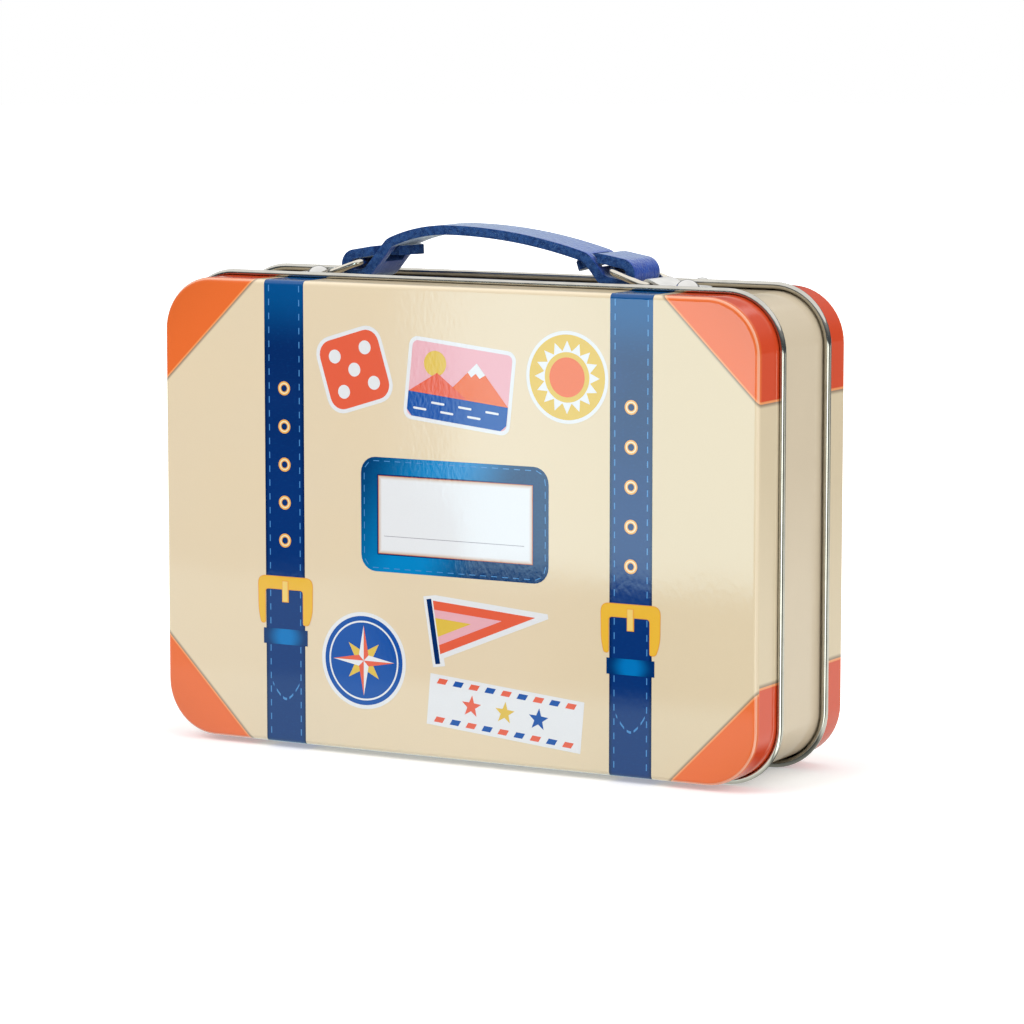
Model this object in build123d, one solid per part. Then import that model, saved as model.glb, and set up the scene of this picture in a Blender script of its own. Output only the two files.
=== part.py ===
from build123d import *
import math
import os

# Travel dice game case: a tinplate suitcase with two covers over an inner band,
# a buckled leather carry strap on wire rings, and a tray with dice, pad and pencil.
# Millimetres. +Z up, the front face looks along -Y, z = 0 is where the beads stand.

# Covers
case_width = 170.0
case_height = 118.7
case_depth = 49.0
corner_radius = 14.0
sheet = 0.3
fold_radius = 1.2
skirt_depth = 11.7
bead_diameter = 1.8

# Body band
band_clearance = 0.45
hem_length = 4.0
edge_gap = 0.3
seam_width = 6.0

# Tabs, rings and rivets
eye_x = 45.5
tab_width = 12.4
tab_sheet = 0.6
tab_reach = 13.8
tab_wedge = 3.0
wire_diameter = 1.8
wire_clearance = 0.06
ring_width = 16.0
ring_corner = 1.6
ring_reach = 9.5
bar_rise = 3.3
rivet_reach = 7.9
rivet_head = 6.0
rivet_dome = 1.75
rivet_shank = 2.6
cover_rivet_reach = 3.0
cover_rivet_inset = 6.75
cover_rivet_head = 5.0
cover_rivet_dome = 1.5
rivet_tail = 4.2
tail_thickness = 0.55
hole_clearance = 0.05

# Leather strap
strap_width = 13.6
strap_thickness = 2.5
arch_rise = 14.1
arch_peak_x = -11.0
arch_inset = 18.0
steep_angle = 50.0
lower_bend = 4.0
upper_bend = 3.5
hairpin_inset = 3.2
hairpin_gap = 2.8
hairpin_tilt = 10.0
strap_rest_gap = 0.2
tail_run = 5.5
tail_bend = 7.0
neck_width = 8.0
barb_inset = 19.5
barb_width = 11.0
slot_clearance = 0.3

# The strap is pulled tighter at its left end (side -1) than at its right end (side 1)
arch_radius = {-1: 42.0, 1: 140.0}
tail_drop = {-1: -2.0, 1: 18.0}
tail_length = {-1: 10.2, 1: 7.4}
neck_inset = {-1: 12.9, 1: 14.1}

# Insert tray
tray_sheet = 0.8
tray_face_y = 2.0
tray_clearance = 0.4
tray_draft = 3.0
tray_rear_gap = 0.1
pocket_corner = 1.0
scoop_width = 10.0
scoop_depth = 6.0
scoop_reach = 12.0

# Dice
die_size = 16.0
die_corner = 1.6
die_count = 5
row_margin = 8.75
row_shortfall = 1.0
pocket_depth = 12.0
pip_diameter = 2.6
pip_depth = 0.45
pip_spread = 4.0
pip_sides = 6

# Score pad
pad_thickness = 6.2
pad_backing = 1.0
pad_side_margin = 16.75
pad_top_margin = 8.45
pad_row_gap = 8.0
pad_pencil_gap = 21.5
pad_recess = 7.0
binding_sheet = 0.25
binding_fold = 9.0
thumb_radius = 9.0

# Pencil
pencil_side_margin = 23.25
pencil_top_margin = 3.45
pencil_low_margin = 23.75
pencil_flats = 7.0
pencil_point = 18.0
lead_diameter = 2.2
ferrule_length = 11.0
ferrule_sheet = 0.3
eraser_length = 14.0
eraser_diameter = 6.2
groove_depth = 6.0

# Running gap between a loose piece and its pocket
loose_gap = 0.3
floor_gap = 0.1

# Levels and places that the sizes above fix
bead_overhang = bead_diameter - sheet
mid_z = bead_overhang + case_height / 2
cover_top = bead_overhang + case_height
half_depth = case_depth / 2
band_offset = sheet + band_clearance
band_top = cover_top - band_offset
inner_offset = band_offset + sheet
tray_inset = inner_offset + sheet + tray_clearance
wire_radius = wire_diameter / 2
eye_radius = wire_radius + wire_clearance
eye_z = band_top + tab_sheet + eye_radius
cover_rivet_y = half_depth - cover_rivet_inset

# The handle's pieces keep their places round the rings' eyes
bar_x = eye_x - ring_reach
tab_end_x = eye_x + tab_reach
rivet_x = eye_x + rivet_reach
cover_rivet_x = eye_x + cover_rivet_reach
hairpin_x = eye_x - hairpin_inset
neck_x = {side: eye_x - inset for side, inset in neck_inset.items()}
barb_x = eye_x - barb_inset
arch_half = eye_x - arch_inset

# The tray's contents fill it between their margins
tray_side = case_width / 2 - tray_inset
tray_low = bead_overhang + tray_inset
tray_high = cover_top - tray_inset
pencil_x = tray_side - pencil_side_margin
pencil_length = tray_high - pencil_top_margin - tray_low - pencil_low_margin
pencil_z = tray_low + pencil_low_margin + pencil_length / 2
die_row_z = tray_low + row_margin + die_size / 2
pad_low = die_row_z + die_size / 2 + pad_row_gap
pad_height = tray_high - pad_top_margin - pad_low
pad_z = pad_low + pad_height / 2
pad_width = pencil_x - pad_pencil_gap + tray_side - pad_side_margin
pad_x = pencil_x - pad_pencil_gap - pad_width / 2
die_row_x = pad_x
die_pitch = (pad_width - row_shortfall - die_size) / (die_count - 1)


def rim(section, width, height, radius):
    """A closed ring with a given section: u points outwards, v along the case's depth."""
    pieces = []
    for turn in range(4):
        across, along = (width, height) if turn % 2 == 0 else (height, width)
        side = Rot(0, -90 * turn, 0)
        run = extrude(section, (along - 2 * radius) / 2, dir=(0, 0, 1), both=True)
        pieces.append(side * Pos(across / 2, 0, 0) * run)
        bend = revolve(Pos(radius, 0, 0) * section, Axis((0, 0, 0), (0, -1, 0)), 90)
        pieces.append(side * Pos(across / 2 - radius, 0, along / 2 - radius) * bend)
    return pieces[0].fuse(*pieces[1:])


def cover_section():
    """Folded edge, skirt and wired outward bead of one cover, with v = 0 on its face."""
    bead_radius = bead_diameter / 2
    fold = Pos(-fold_radius, fold_radius) * (Circle(fold_radius) - Circle(fold_radius - sheet))
    corner = Pos(-fold_radius / 2, fold_radius / 2) * Rectangle(fold_radius, fold_radius)
    skirt_length = skirt_depth - fold_radius
    skirt = Pos(-sheet / 2, fold_radius + skirt_length / 2) * Rectangle(sheet, skirt_length)
    bead = Pos(bead_radius - sheet, skirt_depth) * Circle(bead_radius)
    return (fold & corner) + skirt + bead


def blank_cover():
    """One drawn cover with its face at y = 0 and its skirt towards +Y."""
    skirt = rim(cover_section(), case_width, case_height, corner_radius)
    panel = RectangleRounded(case_width - 2 * fold_radius, case_height - 2 * fold_radius,
                             corner_radius - fold_radius)
    return skirt + extrude(Plane.XZ * panel, sheet, dir=(0, 1, 0))


def front_cover():
    return Pos(0, -half_depth, mid_z) * blank_cover()


def rear_cover():
    cover = Pos(0, half_depth, mid_z) * mirror(blank_cover(), Plane.XZ)
    for side in (-1, 1):
        cover -= rivet_hole(side * cover_rivet_x, cover_rivet_y, cover_top)
    return cover


def rivet_hole(x, y, z):
    """A vertical hole for a rivet's shank through the top walls near height z."""
    return Pos(x, y, z) * Cylinder(rivet_shank / 2 + hole_clearance, 6 * rivet_dome)


def body_band():
    """The inner band: hemmed at both edges, with a lapped seam inside at the bottom."""
    front = -half_depth + sheet + edge_gap
    length = 2 * -front
    wall = Pos(-sheet / 2, 0) * Rectangle(sheet, length)
    hem = Pos(-sheet, (length - hem_length) / 2) * Rectangle(2 * sheet, hem_length)
    section = wall + hem + mirror(hem, Plane.XZ)
    inset = 2 * band_offset
    band = Pos(0, 0, mid_z) * rim(section, case_width - inset, case_height - inset,
                                  corner_radius - band_offset)
    seam_z = bead_overhang + inner_offset
    band += Pos(0, 0, seam_z + sheet / 2) * Box(seam_width, length - hem_length, sheet)
    for side in (-1, 1):
        band -= rivet_hole(side * rivet_x, 0, band_top)
        band -= rivet_hole(side * cover_rivet_x, cover_rivet_y, band_top)
    return band


def rivet(head_diameter, dome_height, seat_z, tail_z):
    """A domed rivet on the Z axis: head above its seat, tail upset under the sheet."""
    head = head_diameter / 2
    shank = rivet_shank / 2
    tail = rivet_tail / 2
    dome = (head ** 2 + dome_height ** 2) / (2 * dome_height)
    middle = math.asin(head / dome) / 2
    outline = [
        ThreePointArc((0, seat_z + dome_height),
                      (dome * math.sin(middle),
                       seat_z + dome_height - dome * (1 - math.cos(middle))), (head, seat_z)),
        Polyline((head, seat_z), (shank, seat_z), (shank, tail_z), (tail, tail_z),
                 (tail * 0.8, tail_z - tail_thickness), (0, tail_z - tail_thickness),
                 (0, seat_z + dome_height)),
    ]
    return revolve(Plane.XZ * make_face(outline), Axis.Z)


def tab_rivet(side):
    seat = band_top + 2 * tab_sheet
    return Pos(side * rivet_x, 0, 0) * rivet(rivet_head, rivet_dome, seat, band_top - sheet)


def cover_rivets():
    one = rivet(cover_rivet_head, cover_rivet_dome, cover_top, band_top - sheet)
    pair = [Pos(side * cover_rivet_x, cover_rivet_y, 0) * one for side in (-1, 1)]
    return Compound(children=[Solid(p.solid().wrapped) for p in pair])


def tab(side):
    """A sheet strip folded round the ring's bar and riveted through both layers."""
    outer = eye_radius + tab_sheet
    flat_x = eye_x + outer + tab_wedge
    eye_at = Pos(eye_x, eye_z)
    strip = Pos((flat_x + tab_end_x) / 2, band_top + tab_sheet) * Rectangle(
        tab_end_x - flat_x, 2 * tab_sheet)
    shell = hull_to_point(eye_x, eye_z, outer, flat_x, band_top + 2 * tab_sheet, band_top)
    void = hull_to_point(eye_x, eye_z, eye_radius, flat_x - tab_sheet,
                         band_top + tab_sheet * 1.05, band_top + tab_sheet * 0.95)
    profile = strip + shell + eye_at * Circle(outer) - void - eye_at * Circle(eye_radius)
    body = extrude(Plane.XZ * profile, tab_width / 2, both=True)
    inner_x = eye_x - outer
    plan = Pos((inner_x + tab_end_x) / 2, 0) * Rectangle(tab_end_x - inner_x, tab_width)
    plan = fillet(plan.vertices().group_by(Axis.X)[-1], tab_width / 2 * 0.96)
    body &= Pos(0, 0, band_top - tab_sheet) * extrude(plan, 4 * outer)
    body -= rivet_hole(rivet_x, 0, band_top)
    return body if side > 0 else mirror(body, Plane.YZ)


def hull_to_point(cx, cz, radius, x, z_high, z_low):
    """A face between a circle and an upright edge beside it, tangent to the circle above."""
    dx, dz = x - cx, z_high - cz
    reach = math.hypot(dx, dz)
    lean = math.atan2(dz, dx) + math.acos(radius / reach)
    touch = (cx + radius * math.cos(lean), cz + radius * math.sin(lean))
    points = [(cx, cz), touch, (x, z_high), (x, z_low), (cx, cz - radius)]
    return make_face(Polyline(*points, close=True))


def ring_angle():
    return math.degrees(math.atan2(bar_rise, eye_x - bar_x))


def ring(side):
    """A wire ring: one bar turns in the tab's eye, the other lies in the strap's loop."""
    arm = math.hypot(bar_rise, eye_x - bar_x)
    flat = Rot(90, 0, 0) * rim(Circle(wire_radius), arm, ring_width, ring_corner)
    right = Pos(eye_x, 0, eye_z) * Rot(0, ring_angle(), 0) * Pos(-arm / 2, 0, 0) * flat
    return right if side > 0 else mirror(right, Plane.YZ)


def strap_levels():
    """Centre of the hairpin bend and radius of its middle line."""
    radius = (hairpin_gap + strap_thickness) / 2
    centre_x = hairpin_x - strap_thickness / 2 - radius
    centre_z = band_top + strap_rest_gap + strap_thickness / 2 + radius
    return centre_x, centre_z, radius


def heading(angle, length):
    """A step towards the middle of the strap that climbs at an angle."""
    return -length * math.cos(math.radians(angle)), length * math.sin(math.radians(angle))


def turn(start, radius, first, last):
    """Arc of a middle line that turns from one climb angle to another, and its end."""
    sign = 1 if last > first else -1
    centre = (start[0] - sign * radius * math.sin(math.radians(-first)),
              start[1] + sign * radius * math.cos(math.radians(first)))
    def at(angle):
        return (centre[0] - sign * radius * math.sin(math.radians(angle)),
                centre[1] - sign * radius * math.cos(math.radians(angle)))
    return ThreePointArc(start, at((first + last) / 2), at(last)), at(last)


def main_line(side):
    """Middle line of half a strap from the hairpin's lower side up to the arch's top."""
    centre_x, centre_z, radius = strap_levels()
    tilt = math.radians(hairpin_tilt)
    steep = math.radians(steep_angle)
    radius_over = arch_radius[side]
    join = math.asin((arch_half - side * arch_peak_x) / radius_over)
    top_z = cover_top + arch_rise - strap_thickness / 2
    start = (centre_x - radius * math.sin(tilt), centre_z - radius * math.cos(tilt))
    goal = (arch_half, top_z - radius_over * (1 - math.cos(join)))
    span_x = start[0] - goal[0] - lower_bend * (math.sin(steep) - math.sin(tilt))
    span_x -= upper_bend * (math.sin(steep) - math.sin(join))
    span_z = goal[1] - start[1] - lower_bend * (math.cos(tilt) - math.cos(steep))
    span_z -= upper_bend * (math.cos(join) - math.cos(steep))
    spread = math.sin(steep - tilt)
    low_run = (span_x * math.sin(steep) - span_z * math.cos(steep)) / spread
    high_run = (span_z * math.cos(tilt) - span_x * math.sin(tilt)) / spread
    step = heading(hairpin_tilt, low_run)
    first = (start[0] + step[0], start[1] + step[1])
    bend_1, second = turn(first, lower_bend, hairpin_tilt, steep_angle)
    step = heading(steep_angle, high_run)
    third = (second[0] + step[0], second[1] + step[1])
    bend_2, fourth = turn(third, upper_bend, steep_angle, math.degrees(join))
    arch, top = turn(fourth, radius_over, math.degrees(join), 0)
    return [Line(start, first), bend_1, Line(second, third), bend_2, arch]


def tail_line(side):
    """Middle line from the hairpin's lower side round the bend to the strap's tip."""
    centre_x, centre_z, radius = strap_levels()
    tilt = math.radians(hairpin_tilt)
    low = (centre_x - radius * math.sin(tilt), centre_z - radius * math.cos(tilt))
    high = (centre_x + radius * math.sin(tilt), centre_z + radius * math.cos(tilt))
    far = (centre_x + radius * math.cos(tilt), centre_z - radius * math.sin(tilt))
    step = heading(hairpin_tilt, tail_run)
    start = (high[0] + step[0], high[1] + step[1])
    bend, end = turn(start, tail_bend, hairpin_tilt, -tail_drop[side])
    step = heading(-tail_drop[side], tail_length[side])
    tip = (end[0] + step[0], end[1] + step[1])
    return [ThreePointArc(low, far, high), Line(high, start), bend, Line(end, tip)]


def along(edges, width, thickness):
    """A flat strip of leather swept along edges drawn in the XZ plane."""
    path = Wire([Plane.XZ * edge for edge in edges])
    start = path @ 0
    plane = Plane(origin=start, x_dir=(0, 1, 0), z_dir=path % 0)
    return sweep(plane * Rectangle(width, thickness), path=path)


def tail_plan(side):
    """Outline of a tail from above: full width, narrow neck, barbs and a point."""
    tip_x = (tail_line(side)[-1] @ 1).X
    outer = hairpin_x + strap_thickness
    half, neck, barb = strap_width / 2, neck_width / 2, barb_width / 2
    shoulder_x = neck_x[side]
    edge = [(outer, half + 1), (shoulder_x, half + 1), (shoulder_x, neck), (barb_x, neck),
            (barb_x - 1, barb), (tip_x + 1, neck / 4)]
    points = edge + [(x, -y) for x, y in reversed(edge)]
    return make_face(Polyline(*points, close=True))


def strap_half(side):
    """From the arch's top down, back round the ring and through the slot, drawn at +X."""
    main = along(main_line(side), strap_width, strap_thickness)
    tail = along(tail_line(side), strap_width, strap_thickness)
    plan = Pos(0, 0, band_top) * extrude(tail_plan(side), 2 * arch_rise)
    slot = along(tail_line(side)[2:], neck_width + 2 * slot_clearance,
                 strap_thickness + 2 * slot_clearance)
    return (main - slot) + (tail & plan)


def handle_strap():
    """One strip whose ends loop back round the rings and lock in its own slots."""
    return strap_half(1) + mirror(strap_half(-1), Plane.YZ)


def pocket(x, z, width, height, depth, grow=0.0, corner=pocket_corner, blunt=chamfer):
    """A drafted hollow from the tray's face backwards; grow makes the wall outside it."""
    growth = grow * (2 - math.sqrt(2)) if blunt is chamfer else grow
    outline = Rectangle(width + 2 * grow, height + 2 * grow)
    outline = blunt(outline.vertices(), corner + growth)
    floor = Plane(origin=(x, tray_face_y + depth + grow, z), x_dir=(1, 0, 0), z_dir=(0, -1, 0))
    return extrude(floor * outline, depth + grow, taper=-tray_draft)


def die_places():
    first = die_row_x - die_pitch * (die_count - 1) / 2
    return [first + die_pitch * i for i in range(die_count)]


def hollows(grow=0.0):
    """Every hollow of the tray: dice, scoops between them, pad, thumb notch, pencil."""
    size = die_size + 2 * loose_gap
    shapes = [pocket(x, die_row_z, size, size, pocket_depth, grow) for x in die_places()]
    scoop_length = die_places()[-1] - die_places()[0] + die_size + 2 * scoop_reach
    shapes.append(pocket(die_row_x, die_row_z, scoop_length, scoop_width, scoop_depth, grow,
                         scoop_width * 0.3, fillet))
    bound = pad_height + 2 * binding_sheet
    shapes.append(pocket(pad_x, pad_z, pad_width + 2 * loose_gap, bound + 2 * loose_gap,
                         pad_recess, grow, loose_gap))
    notch_x = pad_x + pad_width / 2
    shapes.append(pocket(notch_x, pad_z, 2 * thumb_radius, 2 * thumb_radius, pad_recess, grow,
                         thumb_radius * 0.9, fillet))
    groove = pencil_flats / math.cos(math.pi / 6) + 2 * loose_gap
    shapes.append(pocket(pencil_x, pencil_z, groove, pencil_length + 2 * loose_gap,
                         groove_depth, grow))
    shapes.append(pocket(pencil_x, pencil_z, 2 * thumb_radius, 2 * thumb_radius,
                         groove_depth, grow, thumb_radius * 0.9, fillet))
    return shapes


def insert_tray():
    """A formed sheet: face, hollows and an outer wall that stands on the rear cover."""
    width, height = 2 * tray_side, tray_high - tray_low
    outline = Plane.XZ * RectangleRounded(width, height, corner_radius - tray_inset)
    inside = Plane.XZ * RectangleRounded(width - 2 * tray_sheet, height - 2 * tray_sheet,
                                         corner_radius - tray_inset - tray_sheet)
    rear = half_depth - sheet - tray_rear_gap
    depth = rear - tray_face_y
    shell = extrude(outline, depth, dir=(0, 1, 0))
    shell -= Pos(0, tray_sheet, 0) * extrude(inside, depth, dir=(0, 1, 0))
    shell = Pos(0, tray_face_y, mid_z) * shell
    for shape in hollows(tray_sheet):
        shell += shape
    for shape in hollows():
        shell -= shape
    return shell


def pips(count):
    """Pip places on one face of a die, in steps from its middle."""
    layouts = {1: [(0, 0)], 2: [(-1, -1), (1, 1)], 3: [(-1, -1), (0, 0), (1, 1)],
               4: [(-1, -1), (-1, 1), (1, -1), (1, 1)],
               5: [(-1, -1), (-1, 1), (0, 0), (1, -1), (1, 1)],
               6: [(-1, -1), (-1, 0), (-1, 1), (1, -1), (1, 0), (1, 1)]}
    return [(x * pip_spread, y * pip_spread) for x, y in layouts[count]]


def die(index):
    """A rounded cube with drilled pips; opposite faces add up to seven."""
    cube = chamfer(Box(die_size, die_size, die_size).edges(), die_corner / 2)
    faces = [(1, (0, 0, 0)), (6, (180, 0, 0)), (2, (90, 0, 0)), (5, (-90, 0, 0)),
             (3, (0, 90, 0)), (4, (0, -90, 0))]
    rim_face = RegularPolygon(pip_diameter / 2, pip_sides)
    drill = extrude(rim_face, -pip_depth)
    tools = []
    for count, spin in faces:
        for x, y in pips(count):
            tools.append(Rot(*spin) * Pos(x, y, die_size / 2) * drill)
    cube = cube.cut(*tools)
    turned = Rot(90 * (index % 4), 0, 90 * (index % 3)) * cube
    y = tray_face_y + pocket_depth - floor_gap - die_size / 2
    return Pos(die_places()[index], y, die_row_z) * turned


def pad_block(thickness, rear_y):
    """A flat block of the pad's outline whose back lies at rear_y."""
    block = Plane.XZ * RectangleRounded(pad_width, pad_height, 1.0)
    return Pos(pad_x, rear_y, pad_z) * extrude(block, thickness, dir=(0, -1, 0))


def pad_rear():
    return tray_face_y + pad_recess - floor_gap - binding_sheet


def pad_binding():
    """Tape folded over the pad's top edge, on the face, the edge and the back."""
    half = pad_height / 2
    thick = pad_thickness + 2 * binding_sheet
    outer = Pos(0, 0, half - binding_fold / 2) * Box(pad_width, thick, binding_fold)
    outer = fillet(outer.edges().group_by(Axis.Z)[-1].filter_by(Axis.X), binding_sheet * 0.9)
    inner = Pos(0, 0, half - binding_fold / 2 - binding_sheet) * Box(
        pad_width, pad_thickness, binding_fold)
    y = pad_rear() - pad_thickness / 2
    return Pos(pad_x, y, pad_z + binding_sheet) * (outer - inner)


def pencil_y():
    return tray_face_y + groove_depth - floor_gap - pencil_flats / 2


def on_pencil(shape):
    """Moves a shape from the Z axis, with the pencil's point at z = 0, to its groove."""
    return Pos(pencil_x, pencil_y(), pencil_z - pencil_length / 2) * shape


def wood_length():
    return pencil_length - eraser_length


def pencil_barrel():
    """Hexagonal wood, sharpened to a cone at its lower end."""
    corner = pencil_flats / 2 / math.cos(math.pi / 6)
    wood = extrude(RegularPolygon(corner, 6, rotation=0), wood_length())
    point = Cone(lead_diameter / 2, pencil_flats, pencil_point * 2 * 0.95,
                 align=(Align.CENTER, Align.CENTER, Align.MIN))
    keep = Pos(0, 0, lead_diameter) * point
    keep += Pos(0, 0, pencil_point) * Cylinder(pencil_flats, wood_length(),
                                               align=(Align.CENTER, Align.CENTER, Align.MIN))
    wood &= keep
    wood -= Cylinder(lead_diameter / 2, 3 * pencil_length)
    return on_pencil(wood)


def pencil_lead():
    cone = Cone(0.2, lead_diameter / 2, lead_diameter, align=(Align.CENTER, Align.CENTER, Align.MIN))
    rod = Pos(0, 0, lead_diameter) * Cylinder(
        lead_diameter / 2, wood_length() - lead_diameter,
        align=(Align.CENTER, Align.CENTER, Align.MIN))
    return on_pencil(cone + rod)


def pencil_ferrule():
    """A thin collar that grips the eraser and sits on the wood's end, with two crimps."""
    outer = eraser_diameter / 2 + ferrule_sheet
    tube = Cylinder(outer, ferrule_length, align=(Align.CENTER, Align.CENTER, Align.MIN))
    crimp = Cylinder(outer + ferrule_sheet, ferrule_sheet) - Cylinder(
        outer - ferrule_sheet / 2, ferrule_length)
    for share in (0.35, 0.65):
        tube -= Pos(0, 0, ferrule_length * share) * crimp
    tube -= Cylinder(eraser_diameter / 2, 3 * ferrule_length)
    return on_pencil(Pos(0, 0, wood_length()) * tube)


def pencil_eraser():
    plug = Cylinder(eraser_diameter / 2, eraser_length, align=(Align.CENTER, Align.CENTER, Align.MIN))
    plug = chamfer(plug.edges().group_by(Axis.Z)[-1], eraser_diameter * 0.1)
    return on_pencil(Pos(0, 0, wood_length()) * plug)


def nodes():
    shapes = {
        "front_cover": front_cover(),
        "rear_cover": rear_cover(),
        "body_band": body_band(),
        "cover_rivets": cover_rivets(),
        "handle_strap": handle_strap(),
        "insert_tray": insert_tray(),
        "pad_sheets": pad_block(pad_thickness - pad_backing, pad_rear() - pad_backing),
        "pad_backing": pad_block(pad_backing, pad_rear()),
        "pad_binding": pad_binding(),
        "pencil_barrel": pencil_barrel(),
        "pencil_lead": pencil_lead(),
        "pencil_ferrule": pencil_ferrule(),
        "pencil_eraser": pencil_eraser(),
    }
    for name, side in (("left", -1), ("right", 1)):
        shapes["tab_" + name] = tab(side)
        shapes["ring_" + name] = ring(side)
        shapes["rivet_" + name] = tab_rivet(side)
    for index in range(die_count):
        shapes["die_" + str(index + 1)] = die(index)
    return shapes


os.makedirs("parts", exist_ok=True)
for node, shape in nodes().items():
    export_step(shape, "parts/" + node + ".step")
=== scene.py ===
"""Travel dice game case: the finish of a printed suitcase tin, its strap and its contents."""
import math

import bmesh
import bpy
from bpy.props import FloatProperty, FloatVectorProperty, PointerProperty
from mathutils import Matrix, Vector


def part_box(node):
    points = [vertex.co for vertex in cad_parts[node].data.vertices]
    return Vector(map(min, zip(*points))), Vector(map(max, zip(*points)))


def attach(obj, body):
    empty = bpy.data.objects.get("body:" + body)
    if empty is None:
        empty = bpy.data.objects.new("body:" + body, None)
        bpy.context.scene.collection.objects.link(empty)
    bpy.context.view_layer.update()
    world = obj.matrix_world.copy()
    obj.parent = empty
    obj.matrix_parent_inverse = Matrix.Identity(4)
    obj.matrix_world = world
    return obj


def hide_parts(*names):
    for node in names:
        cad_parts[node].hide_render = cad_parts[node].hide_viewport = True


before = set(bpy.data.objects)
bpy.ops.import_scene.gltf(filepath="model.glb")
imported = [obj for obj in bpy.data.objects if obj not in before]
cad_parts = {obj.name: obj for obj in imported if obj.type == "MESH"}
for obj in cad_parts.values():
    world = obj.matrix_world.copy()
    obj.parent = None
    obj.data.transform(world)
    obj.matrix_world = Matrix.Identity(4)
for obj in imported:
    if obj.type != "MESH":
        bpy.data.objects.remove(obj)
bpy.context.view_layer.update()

bl_info = {
    "name": "Travel dice game case",
    "version": (1, 0, 0),
    "blender": (4, 5, 0),
    "location": "3D View > Sidebar > Game case",
    "description": "Builds the looks of a printed suitcase tin around its packed model",
    "category": "Add Mesh",
}

MM = 0.001


def box(node):
    """Lowest and highest corner of a CAD node, in millimetres."""
    return tuple(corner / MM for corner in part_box(node))


LOW, HIGH = box("front_cover")
HALF_DEPTH = box("rear_cover")[1].y
MIDDLE_Z = (LOW.z + HIGH.z) / 2

# Layout of the print, in millimetres from the middle of the face
PRINT_LIFT = 0.012
STRAP_X = (-48.7, 50.7)
STITCH_PITCH = 3.55
TONGUE_TIP = -48.0
EYELET_TOP = 31.9
EYELET_PITCH = 9.74
BUCKLE_TOP = -16.3
BUCKLE_FOOT = -28.7
KEEPER_Z = -31.9
LABEL_MIDDLE = (0.95, 1.4)
LABEL_SIZE = (53.9, 29.0)
CARD_MIDDLE = (1.25, 1.4)
CARD_SIZE = (44.4, 19.8)


def length(label, value, note):
    """A size in millimetres that the panel shows."""
    return FloatProperty(name=label, default=value, min=0.0, description=note, precision=2)


def ink(label, value, note):
    """A linear colour that the panel shows."""
    return FloatVectorProperty(name=label, default=value, size=3, min=0.0, max=1.0,
                               subtype="COLOR", description=note)


class CaseSizes(bpy.types.PropertyGroup):
    """Sizes of the tin and its print, in millimetres."""
    sheet: length("Tinplate", 0.3, "Thickness of the sheet")
    corner: length("Corner", 14.0, "Radius of the covers' corners")
    fold: length("Fold", 1.2, "Outer radius of the folded face edge")
    bead: length("Bead", 1.8, "Diameter of the curled bead")
    skirt: length("Skirt", 11.7, "From the face to the middle of the bead")
    strap_print: length("Printed strap", 11.7, "Width of the printed straps")
    cap_reach: length("Corner cap", 117.0, "How far out the orange corner print begins")
    strap_width: length("Leather width", 13.6, "Width of the leather strap")
    strap_thick: length("Leather thickness", 2.5, "Thickness of the leather")


class CaseColours(bpy.types.PropertyGroup):
    """Linear colours of the print, the leather and the contents."""
    cream: ink("Cream", (0.735, 0.625, 0.455), "Ground colour of the tin")
    orange: ink("Orange", (0.79, 0.155, 0.034), "Corner caps")
    navy: ink("Navy", (0.002, 0.024, 0.125), "Printed straps")
    thread: ink("Thread", (0.07, 0.25, 0.56), "Printed stitches")
    yellow: ink("Yellow", (0.80, 0.47, 0.045), "Printed buckles")
    lemon: ink("Lemon", (0.72, 0.50, 0.075), "Yellow badges")
    coral: ink("Coral", (0.76, 0.120, 0.060), "Coral badges")
    blue: ink("Blue", (0.004, 0.075, 0.36), "Blue badges")
    pink: ink("Pink", (0.78, 0.42, 0.47), "Pink stripes")
    white: ink("White", (0.76, 0.78, 0.80), "Die-cut borders and the card")
    leather: ink("Leather", (0.0, 0.046, 0.36), "Dyed strap")


def sizes():
    return bpy.context.scene.case_sizes


def colours():
    return bpy.context.scene.case_colours


def toned(colour, *factors, lift=0.0):
    """A colour times one factor, or times one for each channel, and lifted."""
    return tuple(v * k + lift for v, k in zip(colour, factors * (3 // len(factors))))


# Shader building


def maths(operation, swapped=False):
    """A method that adds one Math node of that kind."""
    def method(self, other=0.0):
        pair = (other, self) if swapped else (self, other)
        return self.nodes.value("Math", pair, operation=operation)
    return method


class Value:
    """A number of a shader. Its arithmetic and comparisons add Math nodes."""

    def __init__(self, nodes, socket):
        self.nodes = nodes
        self.socket = socket

    __add__ = __radd__ = maths("ADD")
    __sub__ = maths("SUBTRACT")
    __rsub__ = maths("SUBTRACT", swapped=True)
    __mul__ = __rmul__ = maths("MULTIPLY")
    __truediv__ = maths("DIVIDE")
    __pow__ = maths("POWER")
    __abs__ = maths("ABSOLUTE")
    __lt__ = maths("LESS_THAN")
    __gt__ = maths("GREATER_THAN")
    at_least = maths("MAXIMUM")
    at_most = maths("MINIMUM")
    fraction = maths("FRACT")
    sine = maths("SINE")
    root = maths("SQRT")

    def ramp(self, low, high, start=0.0, end=1.0):
        """Eases from start to end while the value goes from low to high."""
        return self.nodes.value("MapRange", (self, low, high, start, end),
                                interpolation_type="SMOOTHSTEP")

    def mix(self, low, high):
        """The colour between two, by this share."""
        return self.nodes.mix(self, low, high)


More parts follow.
